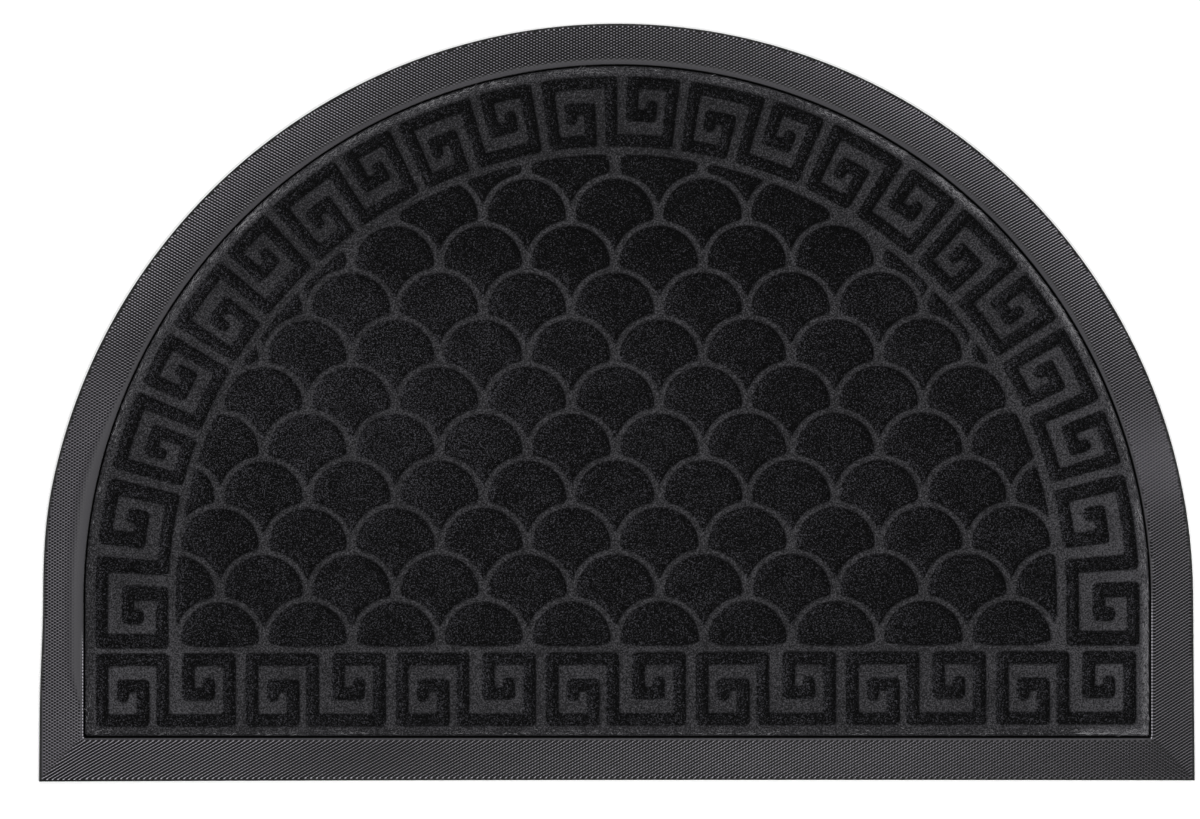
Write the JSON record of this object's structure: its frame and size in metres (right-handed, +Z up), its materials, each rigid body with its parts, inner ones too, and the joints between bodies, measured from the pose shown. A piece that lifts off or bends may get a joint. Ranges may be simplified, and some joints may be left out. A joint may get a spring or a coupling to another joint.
{
  "type": "half-round doormat",
  "caption": "Half-round doormat: charcoal needle-punched carpet with a pressed Greek key border and fish-scale field, let into a black rubber backing with a bevelled, knurled rim.",
  "frame": {"origin": "on the floor, under the middle of the mat's bounding box", "axes": "+Z up out of the pile, +Y from the straight front edge to the crown of the arc, +X along the straight edge"},
  "size_m": [0.6, 0.3928, 0.0078],
  "materials": {
    "black_rubber": "moulded, semi-matt, with a fine diamond knurl on the rim",
    "charcoal_carpet": "short needle-punched fibre pile, pressed flat and greyer in its channels"
  },
  "bodies": {
    "root": {"rubber_backing": "black_rubber", "carpet_insert": "charcoal_carpet"}
  },
  "joints": []
}
